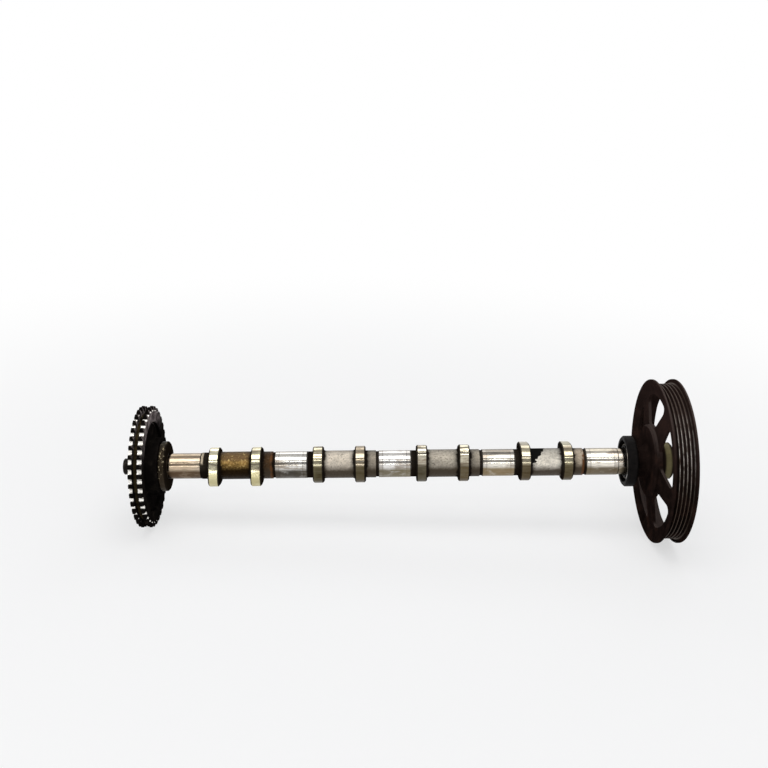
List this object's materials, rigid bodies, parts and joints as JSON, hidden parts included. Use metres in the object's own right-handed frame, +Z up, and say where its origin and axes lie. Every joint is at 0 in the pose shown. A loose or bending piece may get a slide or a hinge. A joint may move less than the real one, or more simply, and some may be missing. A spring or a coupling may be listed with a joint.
{
  "type": "camshaft with chain sprocket and belt pulley",
  "caption": "Engine camshaft with paired lobes and bearing journals, a double-row chain sprocket at the front, and an oil seal and windowed ribbed belt pulley at the rear.",
  "frame": {"origin": "centre of the middle bearing journal, on the shaft axis", "axes": "+X along the shaft from the sprocket to the pulley, +Z up"},
  "size_m": [0.544, 0.1612, 0.1612],
  "materials": {
    "cast_shaft": "ground journals and lobes, as-cast barrels, oily brown varnish",
    "oily_steel": "dark steel under a film of old oil",
    "fastener_steel": "dull oily steel",
    "seal_steel": "plain sheet steel",
    "seal_rubber": "black moulded rubber",
    "pulley_steel": "black coating rusted to dark brown"
  },
  "bodies": {
    "root": {"camshaft": "cast_shaft", "chain_sprocket": "oily_steel", "sprocket_dowel": "fastener_steel", "sprocket_washer": "fastener_steel", "sprocket_bolt": "fastener_steel", "seal_case": "seal_steel", "seal_rubber": "seal_rubber", "garter_spring": "seal_steel", "belt_pulley": "pulley_steel"}
  },
  "joints": []
}
